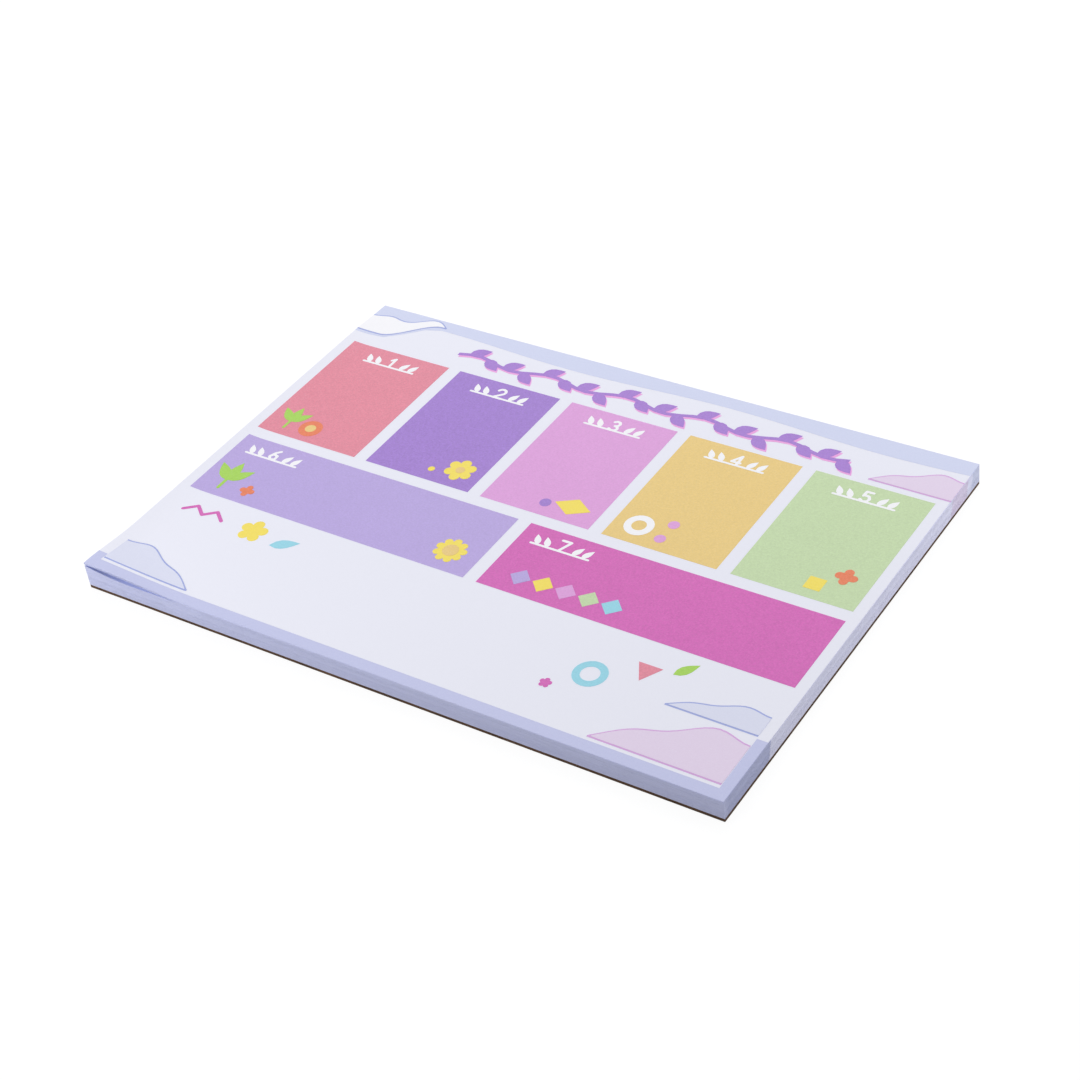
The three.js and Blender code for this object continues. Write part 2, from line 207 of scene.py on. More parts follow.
def makeFloor(settings):
    mesh = bpy.data.meshes.new("floor")
    half = settings["size"] / 2
    corners = [(-half, -half, 0), (half, -half, 0), (half, half, 0), (-half, half, 0)]
    mesh.from_pydata(corners, [], [(0, 1, 2, 3)])
    floor = bpy.data.objects.new("floor", mesh)
    bpy.context.collection.objects.link(floor)
    material = bpy.data.materials.new("floorPaint")
    material.use_nodes = True
    tree = material.node_tree
    paint = tree.nodes["Principled BSDF"]
    paint.inputs["Base Color"].default_value = settings["color"]
    paint.inputs["Roughness"].default_value = settings["roughness"]
    glow = tree.nodes.new("ShaderNodeEmission")
    glow.inputs["Strength"].default_value = settings["glow"]
    blend = tree.nodes.new("ShaderNodeMixShader")
    share = addMath(tree, "MULTIPLY", addSeen(tree), settings["share"])
    tree.links.new(share, blend.inputs["Fac"])
    tree.links.new(paint.outputs["BSDF"], blend.inputs[1])
    tree.links.new(glow.outputs["Emission"], blend.inputs[2])
    tree.links.new(blend.outputs["Shader"], tree.nodes["Material Output"].inputs["Surface"])
    mesh.materials.append(material)


bpy.context.scene.view_settings.view_transform = "Standard"
makeCamera(cameraSettings)
makeLights(lightSettings)
makeWorld(worldSettings)
makeFloor(floorSettings)
print("camera, lights and floor set")


# Shared effects, each a group with named sockets

def makeGroup(name, inputs, outputs):
    group = bpy.data.node_groups.new(name, "ShaderNodeTree")
    for label, kind, value in inputs:
        socket = group.interface.new_socket(label, in_out="INPUT", socket_type=kind)
        socket.default_value = value
    for label, kind in outputs:
        group.interface.new_socket(label, in_out="OUTPUT", socket_type=kind)
    entry = group.nodes.new("NodeGroupInput")
    leave = group.nodes.new("NodeGroupOutput")
    return group, entry.outputs, leave.inputs


def addPlace(tree, scale=(1, 1, 1)):
    coordinates = tree.nodes.new("ShaderNodeTexCoord")
    mapping = tree.nodes.new("ShaderNodeMapping")
    mapping.inputs["Scale"].default_value = scale
    tree.links.new(coordinates.outputs["Object"], mapping.inputs["Vector"])
    return mapping.outputs["Vector"]


def addNoise(tree, place, scale, detail=2.0, roughness=0.5):
    node = tree.nodes.new("ShaderNodeTexNoise")
    tree.links.new(place, node.inputs["Vector"])
    node.inputs["Scale"].default_value = scale
    node.inputs["Detail"].default_value = detail
    node.inputs["Roughness"].default_value = roughness
    return node.outputs["Fac"]


def addRange(tree, value, fromLow, fromHigh, toLow=0.0, toHigh=1.0):
    node = tree.nodes.new("ShaderNodeMapRange")
    node.interpolation_type = "SMOOTHSTEP"
    limits = (("From Min", fromLow), ("From Max", fromHigh), ("To Min", toLow), ("To Max", toHigh))
    for name, number in limits:
        if isinstance(number, (int, float)):
            node.inputs[name].default_value = number
        else:
            tree.links.new(number, node.inputs[name])
    tree.links.new(value, node.inputs["Value"])
    return node.outputs["Result"]


floatSocket = "NodeSocketFloat"
colorSocket = "NodeSocketColor"


def addSwing(tree, value, amount):
    # Turns a mask round 0.5 into a change round 0
    return addMath(tree, "MULTIPLY", addMath(tree, "SUBTRACT", value, 0.5), amount)


grainSettings = {
    "pitScale": 1500,
    "alongScale": 1100,
    "alongStretch": (0.35, 1.6, 1),
    "acrossScale": 900,
    "acrossStretch": (1.5, 0.3, 1),
    "depth": 0.05 * mm,
}


def makePaperGrain(settings):
    # Felt-like tooth of uncoated paper: fine pits with longer fibres across them
    group, given, result = makeGroup(
        "paperGrain",
        [("Tooth", floatSocket, 0.5), ("Fibre", floatSocket, 0.5)],
        [("Grain", floatSocket), ("Height", floatSocket)],
    )
    pits = addNoise(group, addPlace(group), settings["pitScale"], 4, 0.6)
    along = addNoise(group, addPlace(group, settings["alongStretch"]), settings["alongScale"], 3, 0.55)
    across = addNoise(group, addPlace(group, settings["acrossStretch"]), settings["acrossScale"], 3, 0.55)
    fibres = addMath(group, "MAXIMUM", along, across)
    toothPart = addMath(group, "MULTIPLY", pits, given["Tooth"])
    fibrePart = addMath(group, "MULTIPLY", fibres, given["Fibre"])
    height = addMath(group, "ADD", toothPart, fibrePart)
    group.links.new(height, result["Height"])
    group.links.new(addRange(group, pits, 0.3, 0.7), result["Grain"])
    return group


printSettings = {
    "fleckScale": 1900,
    "fleckFrom": 0.5,
    "fleckTo": 0.74,
    "mottleScale": 1350,
    "cloudScale": 55,
    "cloudShare": 0.15,
}


def makeInkOnPaper(settings):
    # A printed field: bare flecks where the ink missed the tooth, and a fine mottle of density
    group, given, result = makeGroup(
        "inkOnPaper",
        [
            ("Ink", colorSocket, (0.5, 0.5, 0.5, 1)),
            ("Paper", colorSocket, (0.9, 0.9, 0.95, 1)),
            ("Flecks", floatSocket, 0.12),
            ("Density", floatSocket, 0.06),
        ],
        [("Color", colorSocket)],
    )
    fine = addNoise(group, addPlace(group), settings["fleckScale"], 3, 0.65)
    flecks = addRange(group, fine, settings["fleckFrom"], settings["fleckTo"])
    fleckPart = addMath(group, "MULTIPLY", flecks, given["Flecks"])
    cloud = addNoise(group, addPlace(group), settings["cloudScale"], 4, 0.6)
    mottle = addNoise(group, addPlace(group), settings["mottleScale"], 3, 0.65)
    change = addMath(
        group,
        "ADD",
        addSwing(group, cloud, settings["cloudShare"]),
        addMath(group, "SUBTRACT", mottle, 0.5),
    )
    densityPart = addMath(group, "MULTIPLY", change, given["Density"])
    deeper = group.nodes.new("ShaderNodeHueSaturation")
    group.links.new(addMix(group, fleckPart, given["Ink"], given["Paper"]), deeper.inputs["Color"])
    group.links.new(addMath(group, "SUBTRACT", 1.0, densityPart), deeper.inputs["Value"])
    group.links.new(deeper.outputs["Color"], result["Color"])
    return group


paperGrain = makePaperGrain(grainSettings)
inkOnPaper = makeInkOnPaper(printSettings)


def addGroup(tree, group, **values):
    node = tree.nodes.new("ShaderNodeGroup")
    node.node_tree = group
    for name, value in values.items():
        if hasattr(value, "is_output"):
            tree.links.new(value, node.inputs[name])
        else:
            node.inputs[name].default_value = value
    return node.outputs


def startMaterial(name):
    material = bpy.data.materials.new(name)
    material.use_nodes = True
    tree = material.node_tree
    return material, tree, tree.nodes["Principled BSDF"].inputs


def addBump(tree, height, strength, distance):
    bump = tree.nodes.new("ShaderNodeBump")
    bump.inputs["Strength"].default_value = strength
    bump.inputs["Distance"].default_value = distance
    tree.links.new(height, bump.inputs["Height"])
    return bump.outputs["Normal"]


# Paper and ink

paperColor = toLinear(238, 239, 251)
brightPaper = toLinear(250, 250, 253)
gapInkPaintedBounce = toLinear(208, 216, 255)   # faces inside the gap: printed faces deepen each other's colour by bounced light, painted here as a bluer, brighter ink

# The cut sides, bare and where a print runs off the page
sideColor = toLinear(225, 226, 247)
bandInk = toLinear(197, 201, 232)
# The band ink with painted shade, for where the band wraps onto the left and right faces
legInkShaded = toLinear(184, 189, 222)
skyInk = toLinear(203, 208, 232)
pinkInk = toLinear(220, 210, 234)

inkSettings = {
    "ink_sky": {"color": (209, 215, 242), "flecks": 0.2, "density": 0.05},
    "ink_band": {"color": (196, 200, 235), "flecks": 0.16, "density": 0.05},
    "ink_coral": {"color": (226, 135, 155), "flecks": 0.14, "density": 0.5},
    "ink_violet": {"color": (161, 125, 208), "flecks": 0.08, "density": 0.6},
    "ink_orchid": {"color": (222, 160, 220), "flecks": 0.14, "density": 0.28},
    "ink_amber": {"color": (234, 203, 128), "flecks": 0.12, "density": 0.28},
    "ink_leaf_green": {"color": (196, 218, 172), "flecks": 0.14, "density": 0.36},
    "ink_lilac": {"color": (184, 166, 224), "flecks": 0.14, "density": 0.3},
    "ink_magenta": {"color": (212, 100, 184), "flecks": 0.07, "density": 0.5},
    "ink_white": {"color": (247, 247, 252), "flecks": 0.1, "density": 0.02},
    "ink_purple": {"color": (166, 124, 210), "flecks": 0.12, "density": 0.4},
    "ink_pink": {"color": (238, 165, 228), "flecks": 0.12, "density": 0.25},
    "ink_yellow": {"color": (245, 224, 92), "flecks": 0.1, "density": 0.15},
    "ink_lime": {"color": (165, 212, 84), "flecks": 0.1, "density": 0.3},
    "ink_orange": {"color": (232, 126, 86), "flecks": 0.1, "density": 0.4},
    "ink_periwinkle": {"color": (158, 170, 224), "flecks": 0.1, "density": 0.06},
    "ink_pale_blue": {"color": (220, 223, 243), "flecks": 0.2, "density": 0.05},
    "ink_pale_pink": {"color": (228, 212, 236), "flecks": 0.2, "density": 0.05},
    "ink_rim_pink": {"color": (214, 166, 222), "flecks": 0.1, "density": 0.06},
    "ink_aqua": {"color": (150, 214, 232), "flecks": 0.12, "density": 0.2},
}

paperFinishes = {
    "printed": {"tooth": 0.55, "fibre": 0.45, "roughness": (0.52, 0.7), "bump": 0.35, "shine": 0.35},
    "page": {"tooth": 0.6, "fibre": 0.5, "roughness": (0.6, 0.8), "bump": 0.35, "shine": 0.3},
    "inner": {"tooth": 0.6, "fibre": 0.5, "roughness": (0.7, 0.9), "bump": 0.3, "shine": 0.1},
}


def makePaper(name, finish, ink, paper, flecks, density):
    material, tree, shader = startMaterial(name)
    grain = addGroup(tree, paperGrain, Tooth=finish["tooth"], Fibre=finish["fibre"])
    field = addGroup(tree, inkOnPaper, Ink=ink, Paper=paper, Flecks=flecks, Density=density)
    tree.links.new(field["Color"], shader["Base Color"])
    tree.links.new(addRange(tree, grain["Grain"], 0, 1, *finish["roughness"]), shader["Roughness"])
    normal = addBump(tree, grain["Height"], finish["bump"], grainSettings["depth"])
    tree.links.new(normal, shader["Normal"])
    shader["Specular IOR Level"].default_value = finish["shine"]
    return material


def makeInk(name, settings):
    color = toLinear(*settings["color"])
    finish = paperFinishes["printed"]
    return makePaper(name, finish, color, paperColor, settings["flecks"], settings["density"])


# How far the print runs along the cut sides, measured from the front or the back edge
bleedSettings = {
    "leftLeg": 9.5 * mm,
    "rightLeg": 32.4 * mm,
    "leftSky": 23.4 * mm,
    "rightSky": 8.4 * mm,
    "jitter": 0.9 * mm,       # how far the print's end differs from sheet to sheet
    "soft": 0.35 * mm,
    "lean": 0.25,             # how far it moves back per height
    "strength": 0.92,
    # Where the painted shade on the band ink begins and where it is full, measured from the front edge
    "sideShadeStart": 0.5 * mm,
    "sideShadeFull": 3 * mm,
}

cutSettings = {
    "seamShare": 0.2,          # share of a sheet's thickness that the painted seam shade darkens, on each side
    "streakScale": 60,
    "streakStretch": (1, 1, 90),
    "speckScale": 900,
    "speckStretch": (1, 1, 3),
    "tone": 0.985,
    "sheetTone": 0.05,
    "streakTone": 0.22,
    "speckTone": 0.14,
    "seamShadeTone": -0.1,
    "roughness": (0.75, 0.95),
    "bump": 0.4,
    "depth": 0.03 * mm,
    "shine": 0.2,
}


def makeCutSheets(settings, finish):
    # Cut sides of the block, where print that runs off the page colours the edge of every sheet
    material, tree, shader = startMaterial("cutSheets")
    place = tree.nodes.new("ShaderNodeSeparateXYZ")
    tree.links.new(addPlace(tree), place.inputs["Vector"])
    x, y, z = place.outputs
    level = addMath(tree, "DIVIDE", addMath(tree, "SUBTRACT", z, boardTop), sheetThickness)
    sheet = addMath(tree, "FLOOR", level)
    chance = tree.nodes.new("ShaderNodeTexWhiteNoise")
    chance.noise_dimensions = "1D"
    tree.links.new(sheet, chance.inputs["W"])
    shift = addSwing(tree, chance.outputs["Value"], settings["jitter"])
    lean = addMath(tree, "MULTIPLY", addMath(tree, "SUBTRACT", z, boardTop), -settings["lean"])
    placeY = addMath(tree, "ADD", y, addMath(tree, "ADD", shift, lean))
    isRight = addMath(tree, "GREATER_THAN", x, 0.0)

    def sideValue(leftValue, rightValue):
        return addMath(tree, "MULTIPLY_ADD", isRight, rightValue - leftValue, leftValue)

    legEnd = sideValue(padFront + settings["leftLeg"], padFront + settings["rightLeg"])
    skyStart = sideValue(padBack - settings["leftSky"], padBack - settings["rightSky"])
    soft = settings["soft"]
    pastLeg = addRange(tree, placeY, addMath(tree, "SUBTRACT", legEnd, soft), legEnd)
    band = addMath(tree, "SUBTRACT", 1.0, pastLeg)
    sky = addRange(tree, placeY, skyStart, addMath(tree, "ADD", skyStart, soft))
    hillLow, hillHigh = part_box("hill_back_rim")
    afterHill = addRange(tree, placeY, hillLow[1], hillLow[1] + soft)
    pastHill = addRange(tree, placeY, hillHigh[1] - soft, hillHigh[1])
    beforeHill = addMath(tree, "SUBTRACT", 1.0, pastHill)
    hill = addMath(tree, "MULTIPLY", isRight, addMath(tree, "MULTIPLY", afterHill, beforeHill))
    # Painted shade: the band print is darker on the left and right faces than on the front face
    sideShadeMask = addRange(tree, y, padFront + settings["sideShadeStart"], padFront + settings["sideShadeFull"])
    bandWithSideShade = addMix(tree, sideShadeMask, bandInk, legInkShaded)
    color = sideColor
    for mask, ink in ((band, bandWithSideShade), (sky, skyInk), (hill, pinkInk)):
        color = addMix(tree, addMath(tree, "MULTIPLY", mask, settings["strength"]), color, ink)

    # Painted shade in the seam between sheets, and streaks that run along them
    part = addMath(tree, "FRACT", level)
    toSeam = addMath(tree, "PINGPONG", part, 0.5)
    seam = addMath(tree, "SUBTRACT", 1.0, addRange(tree, toSeam, 0.0, finish["seamShare"]))
    streak = addNoise(tree, addPlace(tree, finish["streakStretch"]), finish["streakScale"], 4, 0.7)
    speck = addNoise(tree, addPlace(tree, finish["speckStretch"]), finish["speckScale"], 3, 0.6)
    changes = (
        addMath(tree, "MULTIPLY", chance.outputs["Value"], finish["sheetTone"]),
        addSwing(tree, streak, finish["streakTone"]),
        addSwing(tree, speck, finish["speckTone"]),
        addMath(tree, "MULTIPLY", seam, finish["seamShadeTone"]),
    )
    tone = finish["tone"]
    for change in changes:
        tone = addMath(tree, "ADD", tone, change)
    deeper = tree.nodes.new("ShaderNodeHueSaturation")
    tree.links.new(color, deeper.inputs["Color"])
    tree.links.new(tone, deeper.inputs["Value"])
    tree.links.new(deeper.outputs["Color"], shader["Base Color"])
    tree.links.new(addRange(tree, speck, 0, 1, *finish["roughness"]), shader["Roughness"])
    height = addMath(tree, "SUBTRACT", addMath(tree, "MULTIPLY", streak, 0.5), seam)
    tree.links.new(addBump(tree, height, finish["bump"], finish["depth"]), shader["Normal"])
    shader["Specular IOR Level"].default_value = finish["shine"]
    return material


# Chipboard and glue

chipboardSettings = {
    "edge": (98, 72, 54),
    "edgeDark": (58, 42, 30),
    "face": (158, 142, 126),
    "faceDark": (118, 102, 88),
    "pulp": (190, 182, 170),
    "plyScale": 110,
    "plyStretch": (1, 1, 30),
    "pulpScale": 620,
    "chipScale": 260,
    "chipStretch": (0.4, 1, 1),
    "roughness": (0.8, 0.95),
    "bump": 0.5,
    "depth": 0.08 * mm,
    "shine": 0.2,
}


def makeChipboard(settings):
    material, tree, shader = startMaterial("chipboard")
    place = tree.nodes.new("ShaderNodeNewGeometry")
    facing = tree.nodes.new("ShaderNodeSeparateXYZ")
    tree.links.new(place.outputs["Normal"], facing.inputs["Vector"])
    flat = addRange(tree, addMath(tree, "ABSOLUTE", facing.outputs["Z"]), 0.5, 0.8)
    plies = addNoise(tree, addPlace(tree, settings["plyStretch"]), settings["plyScale"], 4, 0.7)
    pulp = addNoise(tree, addPlace(tree), settings["pulpScale"], 5, 0.7)
    chips = addNoise(tree, addPlace(tree, settings["chipStretch"]), settings["chipScale"], 3, 0.6)
    edge, edgeDark, face, faceDark, pulpColor = (
        toLinear(*settings[name]) for name in ("edge", "edgeDark", "face", "faceDark", "pulp")
    )
    cutColor = addMix(tree, addRange(tree, plies, 0.35, 0.65), edge, edgeDark)
    flatColor = addMix(tree, addRange(tree, chips, 0.35, 0.75), face, faceDark)
    flatColor = addMix(tree, addRange(tree, pulp, 0.55, 0.8, 0.0, 0.5), flatColor, pulpColor)
    tree.links.new(addMix(tree, flat, cutColor, flatColor), shader["Base Color"])
    tree.links.new(addRange(tree, pulp, 0, 1, *settings["roughness"]), shader["Roughness"])
    height = addMath(tree, "ADD", addMath(tree, "MULTIPLY", plies, 0.6), pulp)
    tree.links.new(addBump(tree, height, settings["bump"], settings["depth"]), shader["Normal"])
    shader["Specular IOR Level"].default_value = settings["shine"]
    return material


paddingGlueSettings = {
    "clear": (226, 227, 234),
    "thick": (240, 240, 244),
    "strokeScale": 420,
    "strokeStretch": (0.08, 1, 1.4),
    "poolScale": 70,
    "roughness": (0.28, 0.5),
    "bump": 0.5,
    "depth": 0.12 * mm,
    "coat": 0.15,
    "milky": 0.1,
    "milkDepth": 1.5 * mm,
}


def makePaddingGlue(settings):
    material, tree, shader = startMaterial("paddingGlue")
    strokes = addNoise(tree, addPlace(tree, settings["strokeStretch"]), settings["strokeScale"], 4, 0.6)
    pools = addNoise(tree, addPlace(tree), settings["poolScale"], 3, 0.5)
    clear, thick = toLinear(*settings["clear"]), toLinear(*settings["thick"])
    color = addMix(tree, addRange(tree, strokes, 0.3, 0.75), clear, thick)
    tree.links.new(color, shader["Base Color"])
    tree.links.new(addRange(tree, pools, 0.3, 0.7, *settings["roughness"]), shader["Roughness"])
    height = addMath(tree, "ADD", strokes, pools)
    tree.links.new(addBump(tree, height, settings["bump"], settings["depth"]), shader["Normal"])
    shader["Coat Weight"].default_value = settings["coat"]
    shader["Subsurface Weight"].default_value = settings["milky"]
    shader["Subsurface Scale"].default_value = settings["milkDepth"]
    return material


# Sheets

sheetSettings = {
    "count": 52,
    "flap": 4,
    "cornerLift": 3.0 * mm,
    "cornerReachX": 62 * mm,
    "cornerReachY": 32 * mm,
    "sideLift": 1.1 * mm,
    "sideReach": 14 * mm,
    "sideHold": 30 * mm,
    "gapHeight": 4.4 * mm,
    "gapReachX": 57 * mm,
    "gapReachY": 26 * mm,
    "gapClosing": 0.8,        # how far the gap closes again at the very corner
    "gapTip": 0.1 * mm,
    "fan": 2.2,               # how strongly the swelling gathers in the upper sheets
    "wander": 0.07 * mm,      # how far a sheet's edge strays from the cut
    "wanderShare": 0.6,
    "wanderScale": 14,
    "wanderStep": 3.7,
    "seamShare": 0.12,        # share of a sheet's thickness that its rounded edge takes up
    "groove": 0.04 * mm,      # depth of the seam between two sheets
    "droops": [0.16, 0.07, 0.03, 0.0],   # share of the gap that each parted sheet hangs down
    "seed": 11,
}
sheetThickness = (glueHigh[2] - boardTop) / sheetSettings["count"]
flatTop = boardTop + sheetSettings["count"] * sheetThickness


def liftAt(x, y):
    pad = sheetSettings
    alongFront = max(x - padLeft, 0.0)
    alongSide = max(y - padFront, 0.0)
    corner = smooth(1 - alongFront / pad["cornerReachX"] - alongSide / pad["cornerReachY"])
    fromSide = max(1 - alongFront / pad["sideReach"], 0.0)
    held = smooth((padBack - padFront - alongSide) / pad["sideHold"])
    side = pad["sideLift"] / pad["cornerLift"] * fromSide ** 2 * held
    return pad["cornerLift"] * (1 - (1 - corner) * (1 - side))


def gapAt(x, y):
    pad = sheetSettings
    away = max(x - padLeft, 0.0) / pad["gapReachX"] + max(y - padFront, 0.0) / pad["gapReachY"]
    share = 1 - away
    if share <= 0:
        return 0.0
    closing = 1 - pad["gapClosing"] * share ** 3
    return max(pad["gapHeight"] * smooth(share) * closing - pad["gapTip"], 0.0)


# The grid of a sheet is fine where the corner curls and the left side lifts
gridSteps = {"side": 4, "curl": 12, "rest": 24, "front": 10, "middle": 12, "back": 6}


def gridLines(stops, counts):
    lines = set()
    for start, end, count in zip(stops, stops[1:], counts):
        lines.update(steps(start, end, count))
    return sorted(lines)


gridXs = gridLines(
    [padLeft, padLeft + sheetSettings["sideReach"], padLeft + sheetSettings["cornerReachX"], padRight],
    [gridSteps["side"], gridSteps["curl"], gridSteps["rest"]],
)
gridYs = gridLines(
    [padFront, padFront + sheetSettings["cornerReachY"], padBack - sheetSettings["sideHold"], padBack],
    [gridSteps["front"], gridSteps["middle"], gridSteps["back"]],
)


def rimPoints():
    # Places around the page, anticlockwise from the front-left corner, as grid indices
    right, back = len(gridXs) - 1, len(gridYs) - 1
    front = [(i, 0) for i in range(right)]
    side = [(right, j) for j in range(back)]
    rear = [(i, back) for i in range(right, 0, -1)]
    left = [(0, j) for j in range(back, 0, -1)]
    return front + side + rear + left


rim = rimPoints()


def strayed(i, j, offset):
    # A rim place pushed outwards by offset, on the cut sides only
    x, y = gridXs[i], gridYs[j]
    if i == 0:
        x -= offset
    if i == len(gridXs) - 1:
        x += offset
    if j == 0:
        y -= offset
    return x, y


def strayAt(sheet, i, j, chance):
    pad = sheetSettings
    x, y = gridXs[i] * pad["wanderScale"], gridYs[j] * pad["wanderScale"]
    slow = noise.noise(Vector((x, y, sheet * pad["wanderStep"])))
    return pad["wander"] * pad["wanderShare"] * (chance + slow)


def addGrid(mesh, heightAt, offsets, facesUp):
    # One face of a sheet over the whole page; the rim follows the sheet's own cut
    verts = {}
    rimSet = {place: k for k, place in enumerate(rim)}
    for j, y in enumerate(gridYs):
        for i, x in enumerate(gridXs):
            if (i, j) in rimSet:
                px, py = strayed(i, j, offsets[rimSet[(i, j)]])
            else:
                px, py = x, y
            verts[(i, j)] = mesh.verts.new((px, py, heightAt(x, y)))
    faces = []
    for j in range(len(gridYs) - 1):
        for i in range(len(gridXs) - 1):
            ring = [verts[(i, j)], verts[(i + 1, j)], verts[(i + 1, j + 1)], verts[(i, j + 1)]]
            face = mesh.faces.new(ring if facesUp else ring[::-1])
            face.smooth = True
            faces.append(face)
    return verts, faces


def bridge(mesh, lower, upper):
    count = len(lower)
    for k in range(count):
        nextK = (k + 1) % count
        mesh.faces.new((lower[k], lower[nextK], upper[nextK], upper[k]))


sharpAngle = math.radians(30)   # edges that turn more than this stay crisp


def finishMesh(name, mesh, materials):
    data = bpy.data.meshes.new(name)
    mesh.normal_update()
    for edge in mesh.edges:
        if len(edge.link_faces) == 2 and edge.calc_face_angle(0) > sharpAngle:
            edge.smooth = False
    mesh.to_mesh(data)
    mesh.free()
    for material in materials:
        data.materials.append(material)
    piece = bpy.data.objects.new(name, data)
    bpy.context.collection.objects.link(piece)
    return piece


def makeLowerSheets(cutSheets, gapPaperPaintedBounce):
    pad = sheetSettings
    chance = random.Random(pad["seed"])
    lowerCount = pad["count"] - pad["flap"]
    mesh = bmesh.new()

    def heightOf(level, x, y):
        # level counts sheets from the board; the swelling gathers towards the top
        rise = liftAt(x, y) - gapAt(x, y)
        return boardTop + level * sheetThickness + rise * (level / lowerCount) ** pad["fan"]

    def ring(level, offsets):
        made = []
        for (i, j), offset in zip(rim, offsets):
            x, y = strayed(i, j, offset)
            made.append(mesh.verts.new((x, y, heightOf(level, gridXs[i], gridYs[j]))))
        return made

    offsets = [0.0] * len(rim)
    first = previous = None
    for sheet in range(lowerCount):
        luck = chance.uniform(-1, 1)
        before = offsets
        offsets = [strayAt(sheet, i, j, luck) for i, j in rim]
        if previous is not None:
            groove = [min(a, b) - pad["groove"] for a, b in zip(before, offsets)]
            seam = ring(sheet, groove)
            bridge(mesh, previous, seam)
            previous = seam
        low = ring(sheet + (pad["seamShare"] if sheet else 0.0), offsets)
        if previous is not None:
            bridge(mesh, previous, low)
        else:
            first = low
        high = ring(sheet + 1 - pad["seamShare"], offsets)
        bridge(mesh, low, high)
        previous = high
    verts, faces = addGrid(mesh, lambda x, y: heightOf(lowerCount, x, y), offsets, True)
    # The lower stack's top face, seen only through the gap, takes the painted bounce-light tint
    for face in faces:
        face.material_index = 1
    bridge(mesh, previous, [verts[place] for place in rim])
    mesh.faces.new(first[::-1])
    return finishMesh("lower_sheets", mesh, [cutSheets, gapPaperPaintedBounce])


def makeUpperSheets(cutSheets, pagePaper, gapPaperPaintedBounce):
    pad = sheetSettings
    chance = random.Random(pad["seed"] + 1)
    pieces = []
    for k in range(pad["flap"]):
        luck = chance.uniform(-1, 1)
        offsets = [strayAt(pad["count"] + k, i, j, luck) for i, j in rim]
        fromTop = (pad["flap"] - k) * sheetThickness
        droop = pad["droops"][k]
        mesh = bmesh.new()

        def low(x, y):
            return flatTop + liftAt(x, y) - fromTop - droop * gapAt(x, y)

        def high(x, y):
            return low(x, y) + sheetThickness

        bottom, under = addGrid(mesh, low, offsets, False)
        top, over = addGrid(mesh, high, offsets, True)
        bridge(mesh, [bottom[place] for place in rim], [top[place] for place in rim])
        isTop = k == pad["flap"] - 1
        for face in over:
            face.material_index = 1 if isTop else 2
        for face in under:
            face.material_index = 2
        name = "top_sheet" if isTop else f"parted_sheet_{k + 1}"
        pieces.append(finishMesh(name, mesh, [cutSheets, pagePaper, gapPaperPaintedBounce]))
    return pieces


cutSheets = makeCutSheets(bleedSettings, cutSettings)
pagePaper = makePaper("pagePaper", paperFinishes["page"], paperColor, brightPaper, 0.15, 0.03)
# Paper for the faces inside the gap, tinted with painted bounce light
gapPaperPaintedBounce = makePaper("gapPaperPaintedBounce", paperFinishes["inner"], gapInkPaintedBounce, paperColor, 0.12, 0.1)
lowerSheets = makeLowerSheets(cutSheets, gapPaperPaintedBounce)
upperSheets = makeUpperSheets(cutSheets, pagePaper, gapPaperPaintedBounce)
for piece in [lowerSheets, *upperSheets]:
    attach(piece, "root")
    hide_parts("sheet_block")
print("sheets made:", sheetSettings["count"])


# Backing board

boardSettings = {
    "bevel": 0.07 * mm,
    "wobble": 0.04 * mm,      # how far the cut of the board strays inwards
    "wobbleScale": 300,
    "plyScale": 2500,
    "step": 4 * mm,
    "levels": 4,
}


def makeBoard(settings, chipboard):
    width, depth = boardHigh[0] - boardLow[0], boardHigh[1] - boardLow[1]
    height = boardHigh[2] - boardLow[2]
    xs = steps(boardLow[0], boardHigh[0], round(width / settings["step"]))
    ys = steps(boardLow[1], boardHigh[1], round(depth / settings["step"]))
    outline = [(x, ys[0]) for x in xs[:-1]] + [(xs[-1], y) for y in ys[:-1]]
    outline += [(x, ys[-1]) for x in xs[:0:-1]] + [(xs[0], y) for y in ys[:0:-1]]
    bevel = settings["bevel"]
    sides = steps(bevel, height - bevel, settings["levels"])
    levels = [(0.0, bevel)] + [(z, 0.0) for z in sides] + [(height, bevel)]
    mesh = bmesh.new()
    rings = []
    for z, inset in levels:
        ring = []
        for x, y in outline:
            spot = Vector((x, y, 0)) * settings["wobbleScale"]
            spot.z = z * settings["plyScale"]
            pull = inset + settings["wobble"] * abs(noise.noise(spot))
            px = x + pull if x == xs[0] else x - pull if x == xs[-1] else x
            py = y + pull if y == ys[0] else y - pull if y == ys[-1] else y
            ring.append(mesh.verts.new((px, py, boardLow[2] + z)))
        rings.append(ring)
    for lower, upper in zip(rings, rings[1:]):
        bridge(mesh, lower, upper)
    mesh.faces.new(rings[0][::-1])
    mesh.faces.new(rings[-1])
    return finishMesh("chipboard_back", mesh, [chipboard])


board = makeBoard(boardSettings, makeChipboard(chipboardSettings))
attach(board, "root")
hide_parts("backing_board")
print("board made")


# Glue on the back edge

glueSettings = {
    "step": 2.5 * mm,
    "rows": 10,
    "fullness": 0.9,          # share of the strip's depth that the glue fills
    "lump": 0.12 * mm,
    "lumpScaleX": 60,
    "lumpScaleZ": 500,
    "edgeStart": 0.35,        # share of the full skin at the strip's ends
    "edgeReach": 1 * mm,
    "edgeSteep": 1.5,         # the skin fills faster over the height than along the strip
}


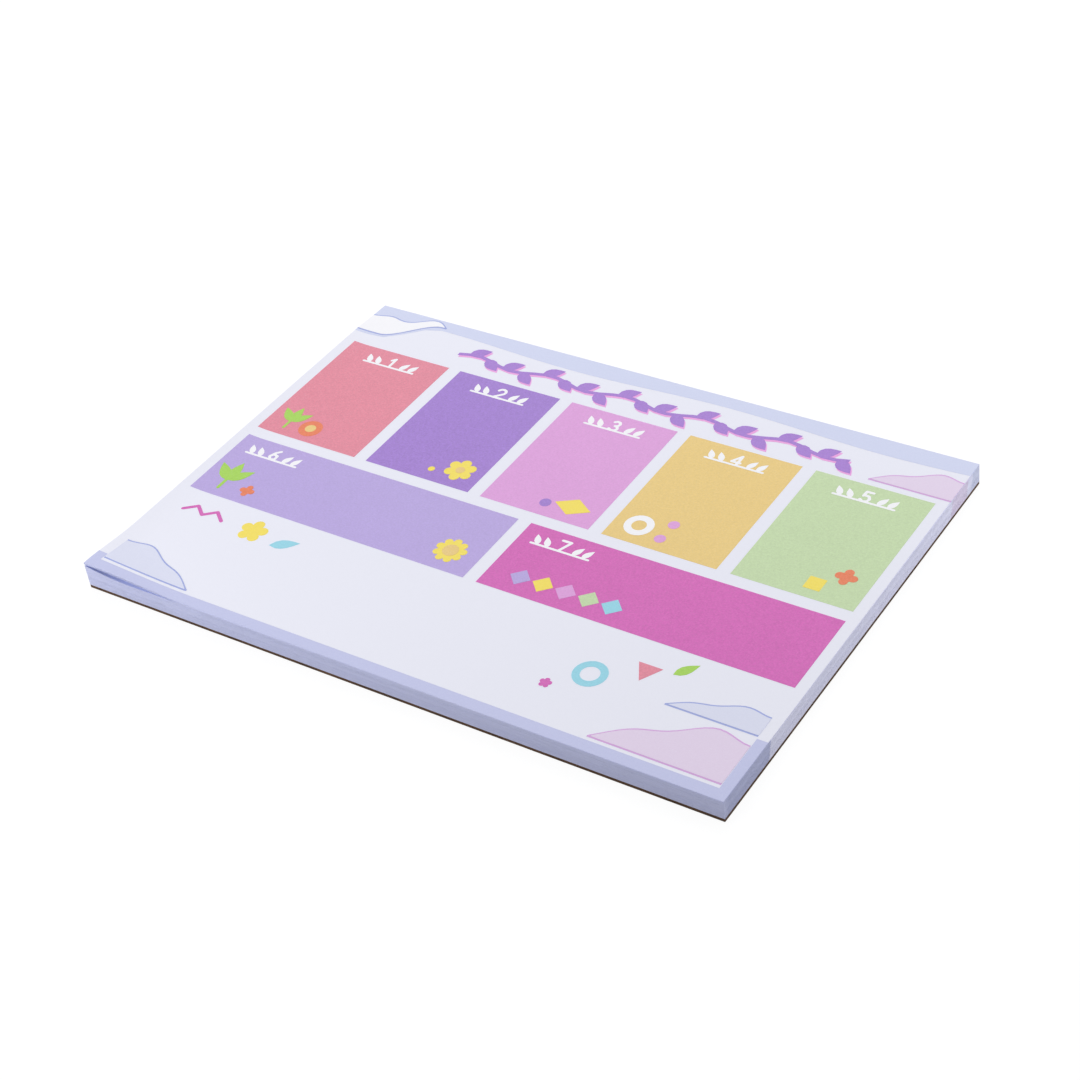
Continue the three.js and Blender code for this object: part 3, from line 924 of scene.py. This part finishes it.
def makeGlue(settings, paddingGlue):
    columns = round((glueHigh[0] - glueLow[0]) / settings["step"])
    xs = steps(glueLow[0], glueHigh[0], columns)
    zs = steps(glueLow[2], glueHigh[2], settings["rows"])
    mesh = bmesh.new()
    outer, inner = [], []
    for z in zs:
        outerRow, innerRow = [], []
        for x in xs:
            spot = Vector((x * settings["lumpScaleX"], 0, z * settings["lumpScaleZ"]))
            lump = settings["lump"] * noise.noise(spot)
            toEnd = min(x - xs[0], xs[-1] - x)
            toRim = min(z - zs[0], zs[-1] - z) * settings["edgeSteep"]
            skin = smooth(settings["edgeStart"] + min(toEnd, toRim) / settings["edgeReach"])
            y = glueLow[1] + ((glueHigh[1] - glueLow[1]) * settings["fullness"] + lump) * skin
            outerRow.append(mesh.verts.new((x, y, z)))
            innerRow.append(mesh.verts.new((x, glueLow[1], z)))
        outer.append(outerRow)
        inner.append(innerRow)
    for j in range(len(zs) - 1):
        for i in range(columns):
            skinCorners = (outer[j][i + 1], outer[j][i], outer[j + 1][i], outer[j + 1][i + 1])
            mesh.faces.new(skinCorners).smooth = True
            mesh.faces.new((inner[j][i], inner[j][i + 1], inner[j + 1][i + 1], inner[j + 1][i]))
    rows = len(zs) - 1
    loop = [(0, i) for i in range(columns)] + [(j, columns) for j in range(rows)]
    loop += [(rows, i) for i in range(columns, 0, -1)] + [(j, 0) for j in range(rows, 0, -1)]
    for (ja, ia), (jb, ib) in zip(loop, loop[1:] + loop[:1]):
        mesh.faces.new((inner[jb][ib], inner[ja][ia], outer[ja][ia], outer[jb][ib]))
    bmesh.ops.recalc_face_normals(mesh, faces=mesh.faces)
    return finishMesh("glued_edge", mesh, [paddingGlue])


glue = makeGlue(glueSettings, makePaddingGlue(paddingGlueSettings))
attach(glue, "root")
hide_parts("glue_strip")
print("glue made")


# Print: every printed node keeps its shape and gets its ink

inks = {name: makeInk(name, settings) for name, settings in inkSettings.items()}
inkOf = {row["node"]: row["material_slot"] for row in frame["record"]["subparts"]}
for name, node in nodes.items():
    if inkOf[name] in inks:
        node.data.materials.clear()
        node.data.materials.append(inks[inkOf[name]])
print("print inked:", len(inks), "inks")
